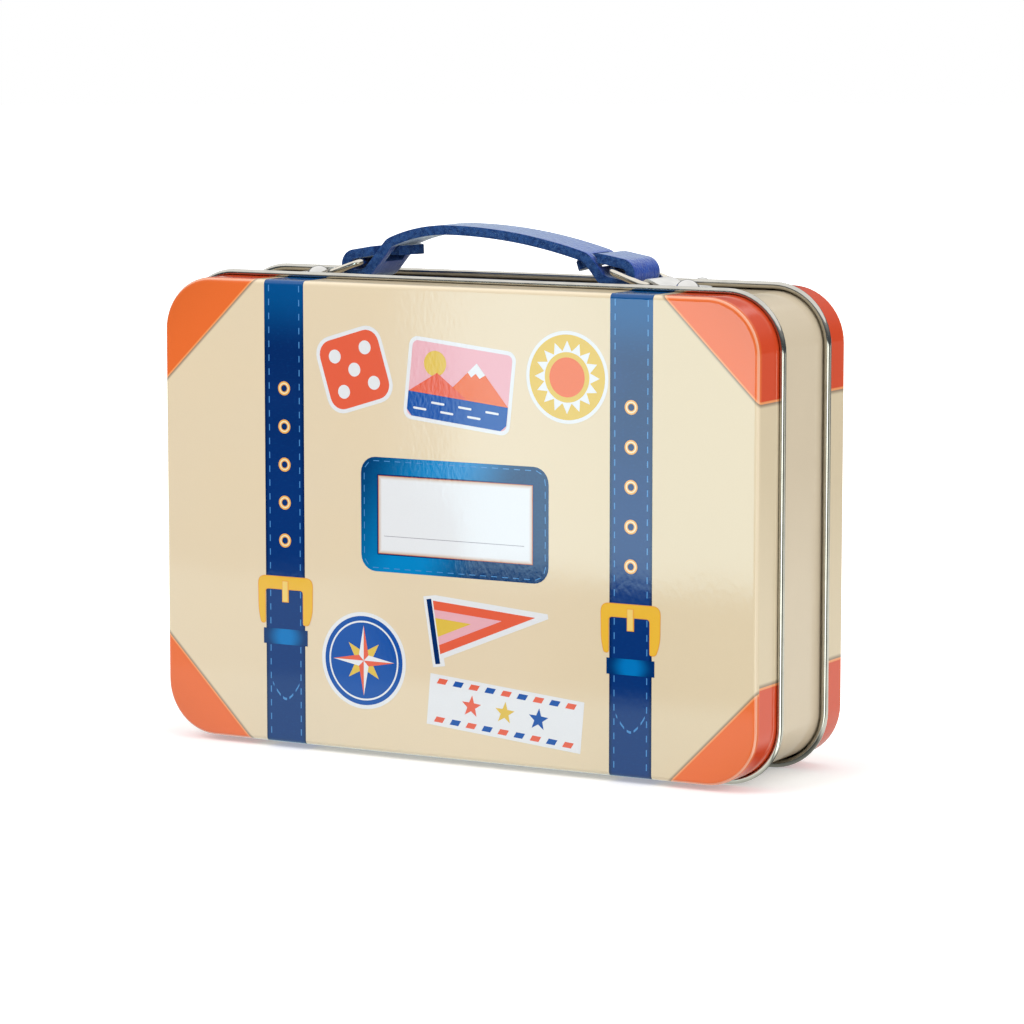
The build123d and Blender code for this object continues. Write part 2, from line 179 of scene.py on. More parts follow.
class Nodes:
    """A node tree that is filled by short calls."""

    def __init__(self, tree):
        self.tree = tree

    def add(self, kind, inputs=(), **settings):
        """Adds a node with its settings, and fills its inputs in order or by name."""
        node = self.tree.nodes.new("ShaderNode" + kind)
        for key, value in settings.items():
            setattr(node, key, value)
        for key, value in inputs.items() if isinstance(inputs, dict) else enumerate(inputs):
            self.put(node.inputs[key], value)
        return node

    def put(self, socket, value):
        """Links a value to a socket, or sets a number or a colour on it."""
        if isinstance(value, Value):
            value = value.socket
        if isinstance(value, bpy.types.NodeSocket):
            self.tree.links.new(value, socket)
        elif socket.type == "RGBA" and len(value) == 3:
            socket.default_value = (*value, 1.0)
        else:
            socket.default_value = value

    def value(self, kind, inputs, output=0, **settings):
        """Adds a node whose output is a number."""
        return Value(self, self.add(kind, inputs, **settings).outputs[output])

    def mix(self, share, low, high, blend="MIX"):
        """A colour mix, whose sockets 6 and 7 are the colours and whose output 2 is one."""
        return self.add("Mix", {0: share, 6: low, 7: high}, data_type="RGBA",
                        blend_type=blend).outputs[2]


class Finish(Nodes):
    """A material on Object coordinates in millimetres, measured from a middle."""

    def __init__(self, name, middle=(0, 0, 0)):
        self.material = bpy.data.materials.new(name)
        self.material.use_nodes = True
        super().__init__(self.material.node_tree)
        self.tree.nodes.clear()
        self.shader = self.add("BsdfPrincipled")
        self.surface = self.add("OutputMaterial", self.shader.outputs[:1]).inputs[0]
        self.place = self.add("Mapping", {"Vector": self.add("TexCoord").outputs["Object"],
                                          "Scale": (1 / MM,) * 3,
                                          "Location": tuple(-m for m in middle)}).outputs[0]
        axes = self.add("SeparateXYZ", [self.place]).outputs
        self.x, self.y, self.z = (Value(self, axis) for axis in axes)

    def noise(self, size, detail=2.0, stretch=(1, 1, 1), rough=0.5, turn=(0, 0, 0)):
        """Noise with features of about that many millimetres."""
        place = self.add("Mapping", {"Vector": self.place, "Scale": stretch, "Rotation": turn})
        return self.value("TexNoise", {"Vector": place.outputs[0], "Scale": 1 / size,
                                       "Detail": detail, "Roughness": rough}, "Fac")

    def pebbles(self, size):
        """Distance from the middle of the nearest pebble."""
        return self.value("TexVoronoi", {"Vector": self.place, "Scale": 1 / size}, "Distance")

    def bump(self, height, depth, **under):
        """Bump of that many millimetres, on top of another bump if its Normal is given."""
        return self.add("Bump", {"Distance": depth * MM, "Height": height, **under}).outputs[0]

    def facing(self, axis):
        """How squarely the surface faces along an axis, from 0 to 1."""
        normal = self.add("NewGeometry").outputs["True Normal"]
        return abs(self.value("SeparateXYZ", [normal], axis))

    def set(self, **values):
        """Sets the shader's sockets: base_color becomes Base Color, and so on."""
        for key, value in values.items():
            words = key.replace("_", " ").title().replace("Ior", "IOR")
            self.put(self.shader.inputs[words], value)
        return self.material


# Finishes of the tin and its print


def lacquer(finish, colour):
    """Gloss print on tinplate: clear coat, fine orange peel and a slow wave in the sheet."""
    wave = finish.bump(finish.noise(26.0, 1.0), 0.09)
    peel = finish.noise(0.9, stretch=(1.0, 1.0, 0.55), turn=(0, 0.7, 0))
    normal = finish.bump(peel, 0.011, Normal=wave)
    mottle = finish.noise(0.35, 3.0) * 0.05 + 0.975
    return finish.set(base_color=finish.mix(1.0, colour, mottle, "MULTIPLY"), roughness=0.5,
                      specular_ior_level=0.0, normal=normal, coat_weight=0.75,
                      coat_roughness=0.07, coat_normal=normal)


def centred(name):
    """A finish whose x and z are measured from the middle of the case."""
    return Finish(name, (0, 0, MIDDLE_Z))


def cover_print():
    """Cream ground with orange corner caps, each with a light and a dark edge line."""
    s, c = sizes(), colours()
    finish = centred("cover_print")
    ground = finish.noise(30.0).mix(c.cream, toned(c.cream, 1.03, 1.0, 0.93))
    # Painted shade: the cream turns darker and warmer towards the right, where the face catches
    # less reflected light.
    ground = finish.x.ramp(10.0, 60.0).mix(ground, toned(c.cream, 0.97, 0.96, 0.90))
    # The four caps are cut at slightly different places and slopes
    right, upper = finish.x > 0.0, finish.z > 0.0
    both = right * upper
    slope = right * 0.027 + upper * 0.043 - both * 0.022 + 0.973
    begin = right * 3.8 + upper * 0.9 - both * 1.9 + s.cap_reach
    edge = abs(finish.z) * slope + abs(finish.x) - begin
    # The lower right cap is larger on the skirt, and again on the rear cover
    step = (finish.y > s.fold + 0.1 - HALF_DEPTH) + (finish.y > 0.0)
    edge = edge + step * (right - both) * 1.25
    cap = edge.ramp(0.0, 24.0).mix(c.orange, toned(c.orange, 0.9))
    skirt_orange = (0.68, 0.068, 0.018)
    cap = abs(finish.y).ramp(HALF_DEPTH - 0.4, HALF_DEPTH - 2.0).mix(cap, skirt_orange)
    light_line = (0.88, 0.33, 0.12)
    cap = edge.ramp(0.35, 0.75).mix(light_line, cap)
    tone = edge.ramp(-0.05, 0.05).mix(ground, cap)
    # Painted highlight: a lighter line along the folds stands in for light glinting on their ridges
    facing = finish.facing("Y")
    fold_highlight = facing.ramp(0.35, 0.6) * facing.ramp(0.93, 0.7)
    tone = (fold_highlight * 0.4).mix(tone, (0.98, 0.86, 0.66))
    dark_line = (0.16, 0.09, 0.06)
    dark = edge.ramp(-1.2, -0.1) * edge.ramp(0.05, -0.05)
    return lacquer(finish, (dark * 0.72).mix(tone, dark_line))


def flat_print(name, colour, low=1.0, high=0.96, patch=9.0, detail=1.0):
    """One flat ink whose tone drifts between two shades, in patches of that size."""
    finish = centred(name)
    drift = finish.noise(patch, detail)
    return lacquer(finish, drift.mix(toned(colour, low), toned(colour, high)))


def strap_print(name, middle, tongue):
    """Printed leather: navy with a softer middle, two rows of dashes and a tongue's curve; the
    azure at its top is partly print and partly a painted reflection.
    """
    c, edge = colours(), sizes().strap_print / 2
    finish = centred(name)
    offset = finish.x - middle
    across = abs(offset)
    tone = finish.noise(24.0, 1.0).ramp(0.45, 0.8).mix(c.navy, toned(c.navy, 1.3, lift=0.002))
    tone = finish.z.ramp(36.0, 0.0).mix(tone, toned(c.navy, 1.35))
    grain = finish.noise(0.7, 3.0, stretch=(0.7, 1, 1.4)).ramp(0.5, 0.75)
    tone = (grain * 0.3).mix(tone, (0.004, 0.055, 0.22))
    tone = across.ramp(edge - 1.1, edge).mix(tone, toned(c.navy, 0.62))
    # Lighter azure towards the top: partly the print's own shading, partly a painted reflection of
    # a softbox.
    tone = finish.z.ramp(41.0, 57.0, 0.0, 0.62).mix(tone, (0.001, 0.105, 0.33))
    dash = ((finish.z + finish.y) / STITCH_PITCH).fraction() < 0.46
    mask = dash * (abs(across - (edge - 1.35)) < 0.14)
    if tongue:
        curve = finish.z - TONGUE_TIP - (across / 4.3) ** 1.7 * 4.6
        arc_dash = ((offset + 0.95) / 1.9).fraction() < 0.62
        mask = mask.at_least((abs(curve) < 0.3) * (across < 4.0) * arc_dash)
    return lacquer(finish, mask.mix(tone, c.thread))


def frame_print():
    """Blue label frame, as printed leather: one slanting bright band left of its middle."""
    finish = centred("frame_print")
    slant = finish.x - finish.z * 0.49
    band = slant.ramp(-36.0, -6.7) * slant.ramp(14.0, -6.7)
    grain = finish.noise(0.6, 3.0) * 0.16
    return lacquer(finish, (band + grain).mix((0.001, 0.018, 0.10), (0.001, 0.22, 0.53)))


def keeper_print():
    """Keeper loop: bright in the middle and dark at both ends."""
    finish = centred("keeper_print")
    left, right = STRAP_X
    across = abs(abs(finish.x - (left + right) / 2) - (right - left) / 2)
    level = finish.z - KEEPER_Z
    curl = level * level * 0.22 + across
    return lacquer(finish, curl.ramp(1.2, 6.2).mix((0.001, 0.17, 0.48), (0.001, 0.03, 0.14)))


def card_print():
    """White card behind its frame, with a warm shade along the frame's inner edge."""
    finish = centred("card_print")
    side = CARD_SIZE[0] / 2 - abs(finish.x - CARD_MIDDLE[0])
    level = CARD_SIZE[1] / 2 - abs(finish.z - CARD_MIDDLE[1])
    near = side.at_most(level)
    tone = near.ramp(-0.1, 1.2).mix((0.58, 0.42, 0.31), colours().white)
    return lacquer(finish, near.ramp(0.22, 0.08).mix(tone, (0.55, 0.14, 0.05)))


def steel(name, tone, rough):
    """Bare or plated metal with fine wear."""
    finish = Finish(name)
    return finish.set(base_color=finish.noise(4.0).ramp(0.3, 0.8).mix(tone, toned(tone, 0.86)),
                      metallic=1.0, roughness=finish.noise(1.4, 3.0) * 0.10 + rough,
                      normal=finish.bump(finish.noise(0.5, stretch=(0.15, 0.15, 1)), 0.002))


def inner_tin():
    """Inside of the covers and the band: bare tinplate with rolling marks."""
    finish = Finish("inner_tin")
    streak = finish.noise(2.0, 3.0, stretch=(0.05, 1, 1))
    return finish.set(base_color=streak.mix((0.55, 0.53, 0.48), (0.66, 0.64, 0.60)),
                      metallic=1.0, roughness=0.33, normal=finish.bump(streak, 0.004))


# Mesh helpers, in millimetres


def piece(name, mesh_source, materials, body, stands_for=None, smooth=True):
    """Turns a bmesh in millimetres into a finished object that rides on a body."""
    bmesh.ops.scale(mesh_source, vec=(MM,) * 3, verts=mesh_source.verts)
    made = new_object(name, mesh_source, materials)
    if smooth:
        made.data.shade_smooth()
    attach(made, body)
    if stands_for:
        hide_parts(stands_for)
    return made


def new_object(name, mesh_source, materials):
    mesh = bpy.data.meshes.new(name)
    mesh_source.to_mesh(mesh)
    mesh_source.free()
    for material in materials:
        mesh.materials.append(material)
    made = bpy.data.objects.new(name, mesh)
    bpy.context.scene.collection.objects.link(made)
    return made


def modifier(target, name, kind, **settings):
    made = target.modifiers.new(name, kind)
    for key, value in settings.items():
        setattr(made, key, value)


def tin_wall(target, inside):
    """Gives a skin the sheet's thickness; its inner material comes that many places later."""
    modifier(target, "sheet", "SOLIDIFY", thickness=sizes().sheet * MM, offset=-1,
             use_even_offset=True, material_offset=inside, material_offset_rim=1)
    modifier(target, "flat faces", "WEIGHTED_NORMAL", keep_sharp=True)


def arc(middle, radius, start, step, count):
    """Points of an arc, from an angle on in equal steps, both in degrees."""
    angles = [math.radians(start + step * index) for index in range(count)]
    return [(middle[0] + radius * math.cos(a), middle[1] + radius * math.sin(a)) for a in angles]


def placing(middle, turn, axis="Z"):
    """A turn in degrees about an axis, and then a move."""
    return Matrix.Translation(middle) @ Matrix.Rotation(math.radians(turn), 4, axis)


def edge_row(mesh, points):
    """A row of edges through those points."""
    verts = [mesh.verts.new(point) for point in points]
    return [mesh.edges.new(pair) for pair in zip(verts, verts[1:])]


def of_kind(geometry, kind):
    return [item for item in geometry if isinstance(item, kind)]


def drawn_out(mesh, edges, way):
    """Draws a row of edges out along a vector, and returns the new row and its vertices."""
    grown = bmesh.ops.extrude_edge_only(mesh, edges=edges)["geom"]
    verts = of_kind(grown, bmesh.types.BMVert)
    bmesh.ops.translate(mesh, vec=way, verts=verts)
    return verts + of_kind(grown, bmesh.types.BMEdge)


def mirrored(mesh, axes):
    """Mirrors a mesh over each axis, joins the halves and evens out their normals."""
    for axis in axes:
        geometry = mesh.verts[:] + mesh.edges[:] + mesh.faces[:]
        bmesh.ops.mirror(mesh, geom=geometry, axis=axis, merge_dist=0.001)
    bmesh.ops.remove_doubles(mesh, verts=mesh.verts, dist=0.001)
    bmesh.ops.recalc_face_normals(mesh, faces=mesh.faces)


def turned_out(mesh, way):
    """Reverses every face if the outermost one along a vector looks the other way."""
    way = Vector(way)
    outermost = max(mesh.faces, key=lambda face: face.calc_center_median().dot(way))
    if outermost.normal.dot(way) < 0:
        bmesh.ops.reverse_faces(mesh, faces=mesh.faces)


def against_cover(mesh, front):
    """Moves a mesh whose face lies at zero to the front cover, or turned to the rear one."""
    if not front:
        bmesh.ops.scale(mesh, vec=(1, -1, 1), verts=mesh.verts)
        bmesh.ops.reverse_faces(mesh, faces=mesh.faces)
    shift = (0, LOW.y if front else HALF_DEPTH, MIDDLE_Z)
    bmesh.ops.translate(mesh, vec=shift, verts=mesh.verts)


def ring_skin(profile, half_width, half_height, corner, steps=14):
    """Sweeps a profile round a rounded rectangle: one corner is spun and then mirrored."""
    made = bmesh.new()
    edges = edge_row(made, [(half_width + u, v, 0) for u, v in profile])
    row = drawn_out(made, edges, (0, 0, half_height - corner))
    turned = bmesh.ops.spin(made, geom=row, cent=(half_width - corner, 0, half_height - corner),
                            axis=(0, -1, 0), angle=math.pi / 2, steps=steps,
                            use_duplicate=False)["geom_last"]
    drawn_out(made, of_kind(turned, bmesh.types.BMEdge), (corner - half_width, 0, 0))
    mirrored(made, "XZ")
    return made


# Covers and band


def skin_profile():
    """Outer skin of a cover as (outwards, depth) pairs from the face's edge to the curl."""
    s = sizes()
    inner = s.bead / 2 - s.sheet
    return (arc((-s.fold, s.fold), s.fold, -90, 15, 7)
            + arc((inner, s.skirt), inner, 180, -15, 21))


def wall_reach():
    """From the middle of a cover to its side wall and to its top wall."""
    inset = sizes().bead - sizes().sheet
    return (HIGH.x - LOW.x) / 2 - inset, (HIGH.z - LOW.z) / 2 - inset


def cover_mesh(front):
    """One cover's outer skin, its panel filled."""
    s = sizes()
    made = ring_skin(skin_profile(), *wall_reach(), s.corner)
    rim = [e for e in made.edges if e.is_boundary and all(v.co.y < 0.01 for v in e.verts)]
    bmesh.ops.edgeloop_fill(made, edges=rim)
    bmesh.ops.recalc_face_normals(made, faces=made.faces)
    turned_out(made, (0, -1, 0))
    for face in made.faces:
        depth = face.calc_center_median().y
        curled = depth > s.skirt - 0.75 and outside_wall(face)
        face.material_index = int(curled or depth > s.skirt + 0.05)
    against_cover(made, front)
    return made


def outside_wall(face):
    """True for a face of the curl that lies outside the cover's wall."""
    at, corner = face.calc_center_median(), sizes().corner
    across, upward = (abs(at[axis]) - (reach - corner) for axis, reach in zip((0, 2), wall_reach()))
    if across > 0 and upward > 0:
        return math.hypot(across, upward) > corner + 0.1
    return max(across, upward) > corner + 0.1


class CASE_OT_covers(bpy.types.Operator):
    """Builds the two printed covers with their curled steel beads"""
    bl_idname = "case.covers"
    bl_label = "Covers"

    def execute(self, context):
        bead, inside = steel("bead_steel", (0.50, 0.485, 0.44), 0.05), inner_tin()
        materials = [cover_print(), bead, inside, bead]
        for front, name, body in ((True, "front_cover", "lid"), (False, "rear_cover", "case")):
            made = piece(name + "_tin", cover_mesh(front), materials, body, name)
            tin_wall(made, inside=2)
        return {"FINISHED"}


class CASE_OT_band(bpy.types.Operator):
    """Builds the lacquered inner band with its hemmed edges"""
    bl_idname = "case.band"
    bl_label = "Body band"

    def execute(self, context):
        s = sizes()
        low, high = box("body_band")
        depth, hem, worn = high.y, 0.55, 0.12
        profile = [(-hem, -depth), (-worn, -depth), (0, worn - depth),
                   (0, depth - worn), (-worn, depth), (-hem, depth)]
        corner = s.corner - (HIGH.x - high.x) + s.bead - s.sheet
        made = ring_skin(profile, high.x, (high.z - low.z) / 2, corner, 18)
        turned_out(made, (1, 0, 0))
        bmesh.ops.translate(made, vec=(0, 0, (low.z + high.z) / 2), verts=made.verts)
        cream = flat_print("band_print", colours().cream, 0.97, 0.91, 20.0, 2.0)
        band = piece("body_band_tin", made, [cream, inner_tin()], "case", "body_band")
        tin_wall(band, inside=1)
        return {"FINISHED"}


# Flat printed shapes


TRIM_TONES = {"amber": (0.78, 0.36, 0.045), "eyelet": (0.84, 0.42, 0.10),
              "prong": (0.84, 0.60, 0.17), "rule": (0.30, 0.28, 0.34),
              "shine": (0.86, 0.76, 0.50)}


def flat_ink(name):
    """The flat ink of that name, made when it is first used."""
    known = bpy.data.materials.get("ink_" + name)
    return known or flat_print("ink_" + name, TRIM_TONES.get(name) or getattr(colours(), name))


class Print:
    """A flat printed piece on the front cover, built up in thin layers of ink. It is drawn
    round its own middle, in finishes or in flat inks by name, and leans by its turn."""

    def __init__(self, name, middle=(0, 0), turn=0.0):
        self.name = name
        self.middle = middle
        self.turn = turn
        self.mesh = bmesh.new()
        self.inks = []

    def lay(self, verts, material, layer, centre, turn=0.0):
        """Turns and places new vertices, and gives their faces an ink."""
        if isinstance(material, str):
            material = flat_ink(material)
        if material not in self.inks:
            self.inks.append(material)
        place = placing((*centre, (layer + 1) * PRINT_LIFT), turn)
        bmesh.ops.transform(self.mesh, matrix=place, verts=verts)
        self.mesh.normal_update()
        for face in {f for v in verts for f in v.link_faces}:
            face.material_index = self.inks.index(material)
            if face.normal.z < 0:
                face.normal_flip()

    def circle(self, radius, filled, segments):
        return bmesh.ops.create_circle(self.mesh, cap_ends=filled, radius=radius,
                                       segments=segments)["verts"]

    def disc(self, radius, material, layer, centre=(0, 0), segments=64):
        self.lay(self.circle(radius, True, segments), material, layer, centre)

    def ring(self, outer, inner, material, layer, centre=(0, 0), segments=40):
        verts = self.circle(outer, False, segments) + self.circle(inner, False, segments)
        bmesh.ops.bridge_loops(self.mesh, edges=list({e for v in verts for e in v.link_edges}))
        self.lay(verts, material, layer, centre)

    def shape(self, points, material, layer, centre=(0, 0), turn=0.0, round_by=0.0):
        """A polygon through a few corners, which may be rounded."""
        verts = [self.mesh.verts.new((x, y, 0)) for x, y in points]
        self.mesh.faces.new(verts)
        if round_by:
            bent = bmesh.ops.bevel(self.mesh, geom=verts, offset=round_by, segments=6, profile=0.5,
                                   affect="VERTICES", material=-1)
            verts = list({v for f in bent["faces"] for v in f.verts} | set(bent["verts"]))
            verts = [v for v in verts if v.is_valid]
        self.lay(verts, material, layer, centre, turn)

    def bar(self, width, height, material, layer, centre=(0, 0), turn=0.0, round_by=0.0):
        corners = ((-1, -1), (1, -1), (1, 1), (-1, 1))
        points = [(x * width / 2, y * height / 2) for x, y in corners]
        self.shape(points, material, layer, centre, turn, round_by)

    def finish(self):
        """Stands the print up against the front face and gives the ink its thickness."""
        place = placing((0, LOW.y, MIDDLE_Z), 90, "X") @ placing((*self.middle, 0), self.turn)
        bmesh.ops.transform(self.mesh, matrix=place, verts=self.mesh.verts)
        made = piece(self.name, self.mesh, self.inks, "lid", smooth=False)
        modifier(made, "ink", "SOLIDIFY", thickness=PRINT_LIFT * 0.5 * MM, offset=-1)


def wrap_strip(name, middle, material, front):
    """A printed band that runs up the face and over both folds to the beads."""
    s = sizes()
    half_height, lift = wall_reach()[1], PRINT_LIFT * 0.6
    line = [(0.0, -lift), *arc((half_height - s.fold, s.fold), s.fold + lift, -90, 15, 7),
            (half_height + lift, s.skirt - 0.2)]
    made = bmesh.new()
    row = edge_row(made, [(middle - s.strap_print / 2, y, z) for z, y in line])
    drawn_out(made, row, (s.strap_print, 0, 0))
    mirrored(made, "Z")
    turned_out(made, (0, -1, 0))
    against_cover(made, front)
    strip = piece(name, made, [material], "lid" if front else "case")
    modifier(strip, "ink", "SOLIDIFY", thickness=lift * 0.5 * MM, offset=-1)
    modifier(strip, "flat faces", "WEIGHTED_NORMAL", keep_sharp=True)


def rounded(corners, radii, steps=5):
    """A closed outline whose corners are cut back by those lengths and rounded."""
    outline, corners = [], [Vector(corner) for corner in corners]
    for index, (at, radius) in enumerate(zip(corners, radii)):
        start, end = (at + (corners[i % len(corners)] - at).normalized() * radius
                      for i in (index - 1, index + 1))
        for share in (step / steps for step in range(steps + 1)):
            outline.append(start.lerp(at, share).lerp(at.lerp(end, share), share))
    return outline


def inner_offset(outline, inset):
    """The same outline, that much smaller on every side; it runs anticlockwise."""
    made = []
    for index, corner in enumerate(outline):
        along = (outline[(index + 1) % len(outline)] - outline[index - 1]).normalized()
        made.append(corner + along.orthogonal() * inset)
    return made


def strap_trim(flat, keeper):
    """Eyelets, buckle, prong and keeper of one strap."""
    for step in range(5):
        at = (0, EYELET_TOP - step * EYELET_PITCH)
        flat.ring(1.8, 0.85, "eyelet", 3, at)
        flat.ring(1.42, 1.12, "shine", 4, at)
    top, foot, beam = BUCKLE_TOP, BUCKLE_FOOT, BUCKLE_TOP - 3.45
    buckle = [(-7.4, foot), (-5.95, foot), (-5.95, beam), (5.2, beam), (5.2, foot),
              (7.0, foot), (8.15, foot + 3.0), (8.3, top), (-8.3, top), (-8.15, foot + 3.0)]
    outline = rounded(buckle, (0.7, 0.7, 0.9, 0.9, 0.7, 0.8, 2.0, 2.3, 2.3, 2.0))
    flat.shape(outline, "amber", 3)
    flat.shape(inner_offset(outline, 0.22), "yellow", 4)
    flat.bar(2.0, 5.6, "amber", 5, (0, top - 3.9))
    flat.bar(1.5, 5.2, "prong", 6, (-0.1, top - 3.9))
    flat.bar(13.2, 4.0, keeper, 3, (0, KEEPER_Z))
    flat.finish()


class CASE_OT_straps(bpy.types.Operator):
    """Prints the two buckled straps over the cover's face and skirt"""
    bl_idname = "case.straps"
    bl_label = "Printed straps"

    def execute(self, context):
        keeper = keeper_print()
        for side, middle in zip(("left", "right"), STRAP_X):
            for front, place in ((True, ""), (False, "back_")):
                material = strap_print(place + "strap_print_" + side, middle, front)
                wrap_strip("printed_" + place + "strap_" + side, middle, material, front)
            strap_trim(Print("printed_buckle_" + side, (middle, 0)), keeper)
        return {"FINISHED"}


def onward(place, size, turn=0.0):
    """An (x, y, heading) place after a straight run of that size, or a bend of that radius."""
    x, y, heading = place
    before, after = math.radians(heading), math.radians(heading + turn)
    if not turn:
        return x + size * math.cos(before), y + size * math.sin(before), heading
    bend = math.copysign(size, turn)
    return (x + bend * (math.sin(after) - math.sin(before)),
            y + bend * (math.cos(before) - math.cos(after)), heading + turn)


def rounded_walk(run, half_w, half_h, corner):
    """Place and heading after a run along a rounded rectangle, from its lower left."""
    place = (corner - half_w, -half_h, 0.0)
    for index in range(8):
        if index % 2:
            part = min(run, corner * math.pi / 2)
            place = onward(place, corner, math.degrees(part / corner))
        else:
            part = min(run, 2 * ((half_h if index % 4 else half_w) - corner))
            place = onward(place, part)
        run -= part
        if run <= 1e-9:
            break
    return place


def frame_stitches(flat):
    """Dashes that run round the frame, just inside its edge."""
    inset, corner, pitch, dash = 0.95, 3.3, 3.1, 1.7
    half_w, half_h = (size / 2 - inset for size in LABEL_SIZE)
    total = 4 * (half_w + half_h - 2 * corner) + 2 * math.pi * corner
    count = round(total / pitch)
    for step in range(count):
        x, y, turn = rounded_walk(step * total / count, half_w, half_h, corner)
        flat.bar(dash, 0.22, "thread", 2, (LABEL_MIDDLE[0] + x, LABEL_MIDDLE[1] + y), turn)


class CASE_OT_label(bpy.types.Operator):
    """Prints the stitched luggage label with its blank ruled card"""
    bl_idname = "case.label"
    bl_label = "Luggage label"

    def execute(self, context):
        flat = Print("printed_label")
        flat.bar(*LABEL_SIZE, frame_print(), 1, LABEL_MIDDLE, round_by=4.2)
        flat.bar(CARD_SIZE[0] + 0.7, CARD_SIZE[1] + 0.6, "navy", 2, CARD_MIDDLE, round_by=0.3)
        flat.bar(*CARD_SIZE, card_print(), 3, CARD_MIDDLE)
        flat.bar(40.3, 0.14, "rule", 4, (0.9, -4.0))
        frame_stitches(flat)
        flat.finish()
        return {"FINISHED"}


def star(points, outer, inner, turn=90.0):
    """Corners of a star with that many points."""
    step = 360 / points
    tips = arc((0, 0), outer, turn, step, points)
    dips = arc((0, 0), inner, turn + step / 2, step, points)
    return [corner for pair in zip(tips, dips) for corner in pair]


def badge_die(flat):
    """A die's face with five pips, leaning on its corner."""
    flat.bar(19.8, 19.8, "white", 1, round_by=4.6)
    flat.bar(17.8, 17.8, "coral", 2, round_by=3.7)
    for x, y in ((-1, -1), (-1, 1), (0, 0), (1, -1), (1, 1)):
        flat.disc(1.75, "white", 3, (x * 4.6, y * 4.6), segments=32)


def badge_hills(flat):
    """A card with pink sky, a sun, two hills and water."""
    side, foot, shore, cut = 14.3, -9.5, -3.4, 1.5
    flat.bar(30.6, 21.0, "white", 1, round_by=2.4)
    flat.bar(28.6, 19.0, "pink", 2, round_by=cut)
    flat.disc(3.2, "lemon", 3, (-7.4, 4.4))
    flat.shape([(-4.2, shore), (4.4, 6.2), (side, shore)], "orange", 4)
    flat.shape([(2.07, 3.6), (4.4, 6.2), (7.08, 3.6), (5.6, 2.5), (4.4, 3.6), (3.2, 2.5)],
               "white", 5)
    flat.shape([(-side, shore), (-6.6, 2.2), (2.8, shore)], "coral", 5)
    flat.shape([(-side, shore), (-side, foot + cut), (cut - side, foot), (side - cut, foot),
                (side, foot + cut), (side, shore)], "blue", 6)
    for row, shift in ((-5.4, 2.2), (-7.4, -2.8)):
        for step in (-1, 0, 1):
            flat.bar(3.8, 0.55, "white", 7, (shift + step * 7.8, row), round_by=0.25)


def badge_sunburst(flat):
    """A yellow disc with a ring of rays."""
    flat.disc(11.4, "white", 1)
    flat.disc(10.5, "lemon", 2)
    flat.shape(star(16, 9.0, 6.5), "white", 3)
    flat.disc(6.2, "lemon", 4)
    flat.disc(4.9, "orange", 5)


def badge_compass(flat):
    """A blue disc with an eight-pointed compass star."""
    flat.disc(12.4, "white", 1)
    flat.disc(11.4, "blue", 2)
    flat.ring(10.2, 9.75, "white", 3, segments=64)
    flat.shape(star(4, 6.3, 2.2, 135.0), "lemon", 3)
    flat.shape(star(4, 9.0, 2.0), "white", 4)
    for step in range(4):
        flat.shape([(0, 0), (0, 9.0), (1.41, 1.41)], "coral", 5, turn=-90.0 * step)


def badge_pennant(flat):
    """A striped pennant on its staff."""
    flat.shape([(-16.6, -8.4), (-13.1, -8.4), (-13.1, -6.4), (18.2, 0.9), (18.2, 2.1),
                (-13.1, 9.6), (-16.6, 9.6)], "white", 1)
    flat.bar(1.4, 16.5, "navy", 2, (-15.1, 0.55))
    stripes = (("coral", 14.6, 6.8), ("pink", 5.0, 4.5), ("lemon", -3.9, 2.4))
    for layer, (tone, tip, reach) in enumerate(stripes, 2):
        flat.shape([(-14.0, 1.5 - reach), (tip, 1.5), (-14.0, 1.5 + reach)], tone, layer)


def badge_ribbon(flat):
    """A long white strip with slanted bars along both edges and three stars."""
    flat.bar(44.0, 13.0, "white", 1)
    for row in (-4.9, 4.9):
        for step in range(-4, 5):
            flat.shape([(-1.6, -0.7), (0.9, -0.7), (1.6, 0.7), (-0.9, 0.7)],
                       "blue" if step % 2 else "coral", 2, (step * 4.6, row))
    for step, tone in zip((-1, 0, 1), ("coral", "lemon", "blue")):
        flat.shape(star(5, 2.9, 1.2), tone, 2, (step * 9.6, 0))


# Each badge's middle and how far it leans
BADGES = {badge_die: ((-27.8, 37.6), 17.0), badge_hills: ((2.6, 35.0), -6.0),
          badge_sunburst: ((33.0, 38.4), 0.0), badge_compass: ((-25.4, -36.2), 0.0),
          badge_pennant: ((10.0, -25.4), 9.0), badge_ribbon: ((15.5, -46.2), -5.0)}


class CASE_OT_badges(bpy.types.Operator):
    """Prints the die-cut travel badges, of plain generic motifs without words"""
    bl_idname = "case.badges"
    bl_label = "Badges"

    def execute(self, context):
        for draw, place in BADGES.items():
            flat = Print(draw.__name__, *place)
            draw(flat)
            flat.finish()
        return {"FINISHED"}


# Leather strap


ARCH_PEAK_X = -11.0
ARCH_HALF = 27.5
BAR_X = 36.0
STEEP = 50.0
TILT = 10.0
# For each side: radius of the arch, steep run, low run, drop and length of the tail, its neck
HALVES = {-1: (42.0, 7.97, 1.67, -2.0, 10.2, 32.6), 1: (140.0, 4.76, 3.34, 18.0, 7.4, 31.4)}
LOOP_ROWS = 30
SLOT_REACH = 2.8
SLOT_SHARE = 0.64
BARB_X = 26.0
NECK_HALF = 4.0
BARB_HALF = 5.6
TIP_HALF = 0.8


